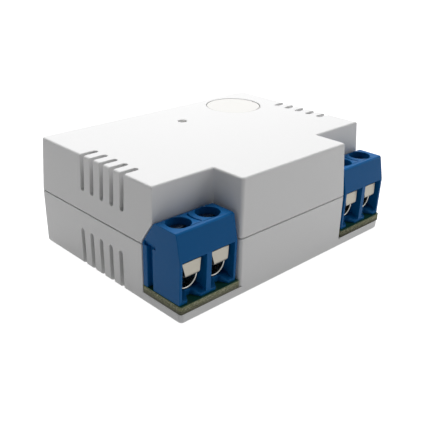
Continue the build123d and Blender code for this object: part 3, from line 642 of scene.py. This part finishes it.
# %% Wind the coils
def winding_profile(low, high, inner, outer, turns):
    """Closed half outline of a winding: a plain inside, and one arc a turn on the outside."""
    pitch = (high - low) / turns
    bulge = pitch / 2
    points = [(inner, low)]
    for turn in range(turns):
        points += arc(outer - bulge, low + pitch * (turn + 0.5), bulge, -90, 90, 30)
    points.append((inner, high))
    return points


def wind(node, inner_share, turns):
    """The winding of a coil, inside its CAD node's box."""
    low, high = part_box(node)
    outer = (high.x - low.x) / 2 / MM
    profile = winding_profile(low.z / MM, high.z / MM, outer * inner_share, outer, turns)
    coil = lathe(profile, (low + high) / 2, 64, closed=True)
    finish_piece(f"{node}_piece", coil, node, [enamelled_copper])
    print(f"Wire of {node}: {(high.z - low.z) / MM / turns:.2f} mm")


wind("relay_winding", inner_share=0.6, turns=30)
wind("choke_winding", inner_share=0.5, turns=18)

# %% [markdown]
# ## Parts under the lid
# Little of this shows through the vents, but the lid comes off. The relay is a small machine: a coil pulls
# an iron armature, and its bronze blade closes two silver contacts. New shapes would add nothing, so each
# part is a softened copy of its CAD node in the material that it is made of.

# %% Power relay
dress("relay_cover", blue_pbt, 0.08)
dress("relay_base", black_pbt, 0.06)
dress("relay_bobbin", black_pbt, 0.06)
for part in ("relay_core", "relay_yoke", "relay_armature"):
    dress(part, nickel_iron, 0.05)
dress("contact_blade", bronze, 0.03)
dress("fixed_contact_strip", bronze, 0.03)
dress("moving_contact", silver, 0.06)
dress("fixed_contact", silver, 0.06)
dress("relay_coil_pins", tinned_wire)

# %% [markdown]
# ## Printed films and paints
# A capacitor's sleeve is shrunk on and carries the pale stripe of its negative side. The resistor is
# sprayed with green cement and painted with rings. Both marks could be images, but they are plain enough
# to be drawn from the place on the part: the stripe where x passes a limit, the rings by the way along y.

# %% Printed finishes
def striped_sleeve(node, base, stripe, reach):
    """Shrunk film, smooth and glossy, with a stripe on the side where x passes a share of the radius."""
    low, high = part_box(node)
    material, tree, shader = start_material(f"printed_shrink_film_of_{node}", base, 0.3)
    place = add_node(tree, "ShaderNodeTexCoord")
    axes = add_node(tree, "ShaderNodeSeparateXYZ", links={"Vector": place.outputs["Object"]})
    edge = (low.x + high.x) / 2 + reach * (high.x - low.x) / 2
    on_stripe = add_node(tree, "ShaderNodeMath", {"operation": "GREATER_THAN", 1: edge},
                         {0: axes.outputs["X"]})
    film = add_node(tree, "ShaderNodeMix", {"data_type": "RGBA", 6: colour(base), 7: colour(stripe)},
                    {0: on_stripe.outputs[0]})
    tree.links.new(film.outputs[2], shader.inputs["Base Color"])
    return material


def ringed_coat(node, base, rings):
    """Sprayed cement, dull and grainy, with painted rings.

    A ring is given by where it starts and ends along the length, as shares, and by its colour.
    """
    low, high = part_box(node)
    material, tree, shader = start_material(f"ringed_cement_of_{node}", base, 0.6)
    add_grain(tree, shader, 0.15, 0.008)
    place = add_node(tree, "ShaderNodeTexCoord")
    axes = add_node(tree, "ShaderNodeSeparateXYZ", links={"Vector": place.outputs["Object"]})
    share = add_node(tree, "ShaderNodeMapRange", {"From Min": low.y, "From Max": high.y},
                     {"Value": axes.outputs["Y"]})
    ramp = add_node(tree, "ShaderNodeValToRGB", links={"Fac": share.outputs["Result"]})
    ramp.color_ramp.interpolation = "CONSTANT"
    ramp.color_ramp.elements[0].color = colour(base)
    ramp.color_ramp.elements[1].position = rings[0][0]
    ramp.color_ramp.elements[1].color = colour(rings[0][2])
    for start, end, paint in rings:
        if start != rings[0][0]:
            ramp.color_ramp.elements.new(start).color = colour(paint)
        ramp.color_ramp.elements.new(end).color = colour(base)
    tree.links.new(ramp.outputs["Color"], shader.inputs["Base Color"])
    return material


# %% Power supply
for name in ("input_capacitor", "output_capacitor"):
    sleeve = striped_sleeve(f"{name}_sleeve", "#1A2430", "#C9CDD2", reach=0.8)
    dress(f"{name}_sleeve", sleeve, 0.04)
    dress(f"{name}_can", aluminium, 0.03)
    dress(f"{name}_bung", black_rubber, 0.05)
    dress(f"{name}_leads", tinned_wire)
dress("choke_core", ferrite, 0.1)
coat = ringed_coat("fuse_resistor", "#5E7A62", [(0.22, 0.30, "#6B4423"), (0.38, 0.46, "#1A1A1A"),
                                                 (0.54, 0.62, "#1A1A1A"), (0.78, 0.84, "#B08D3C")])
dress("fuse_resistor", coat)
dress("varistor", blue_epoxy)
dress("rectifier", black_epoxy, 0.08)
dress("supply_chip", black_epoxy, 0.08)
for part in ("fuse_resistor_leads", "varistor_leads", "rectifier_legs", "supply_chip_legs"):
    dress(part, tinned_wire)
dress("solder_joints", solder)

# %% [markdown]
# ## Switch, lamp and radio
# The button in the lid presses a small switch, the light guide stands over a lamp, and the radio board
# carries a metal shield with the antenna left free beside it. They are dressed like the relay's parts, for
# the same reason.

# %% Switch, lamp and radio
dress("switch_body", black_pbt, 0.08)
dress("switch_plunger", black_pbt, 0.08)
dress("switch_plate", zinc_steel_painted_dark, 0.03)
dress("switch_legs", tinned_wire)
dress("status_led", led_resin, 0.06)
dress("radio_shield", nickel_iron, 0.06)
dress("radio_antenna", gold_track)

# %% [markdown]
# ## Finish
# Every CAD node now has its dressed piece.

# %% Finish
low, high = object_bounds()
print("Dressed box in mm:", [round((b - a) / MM, 2) for a, b in zip(low, high)])
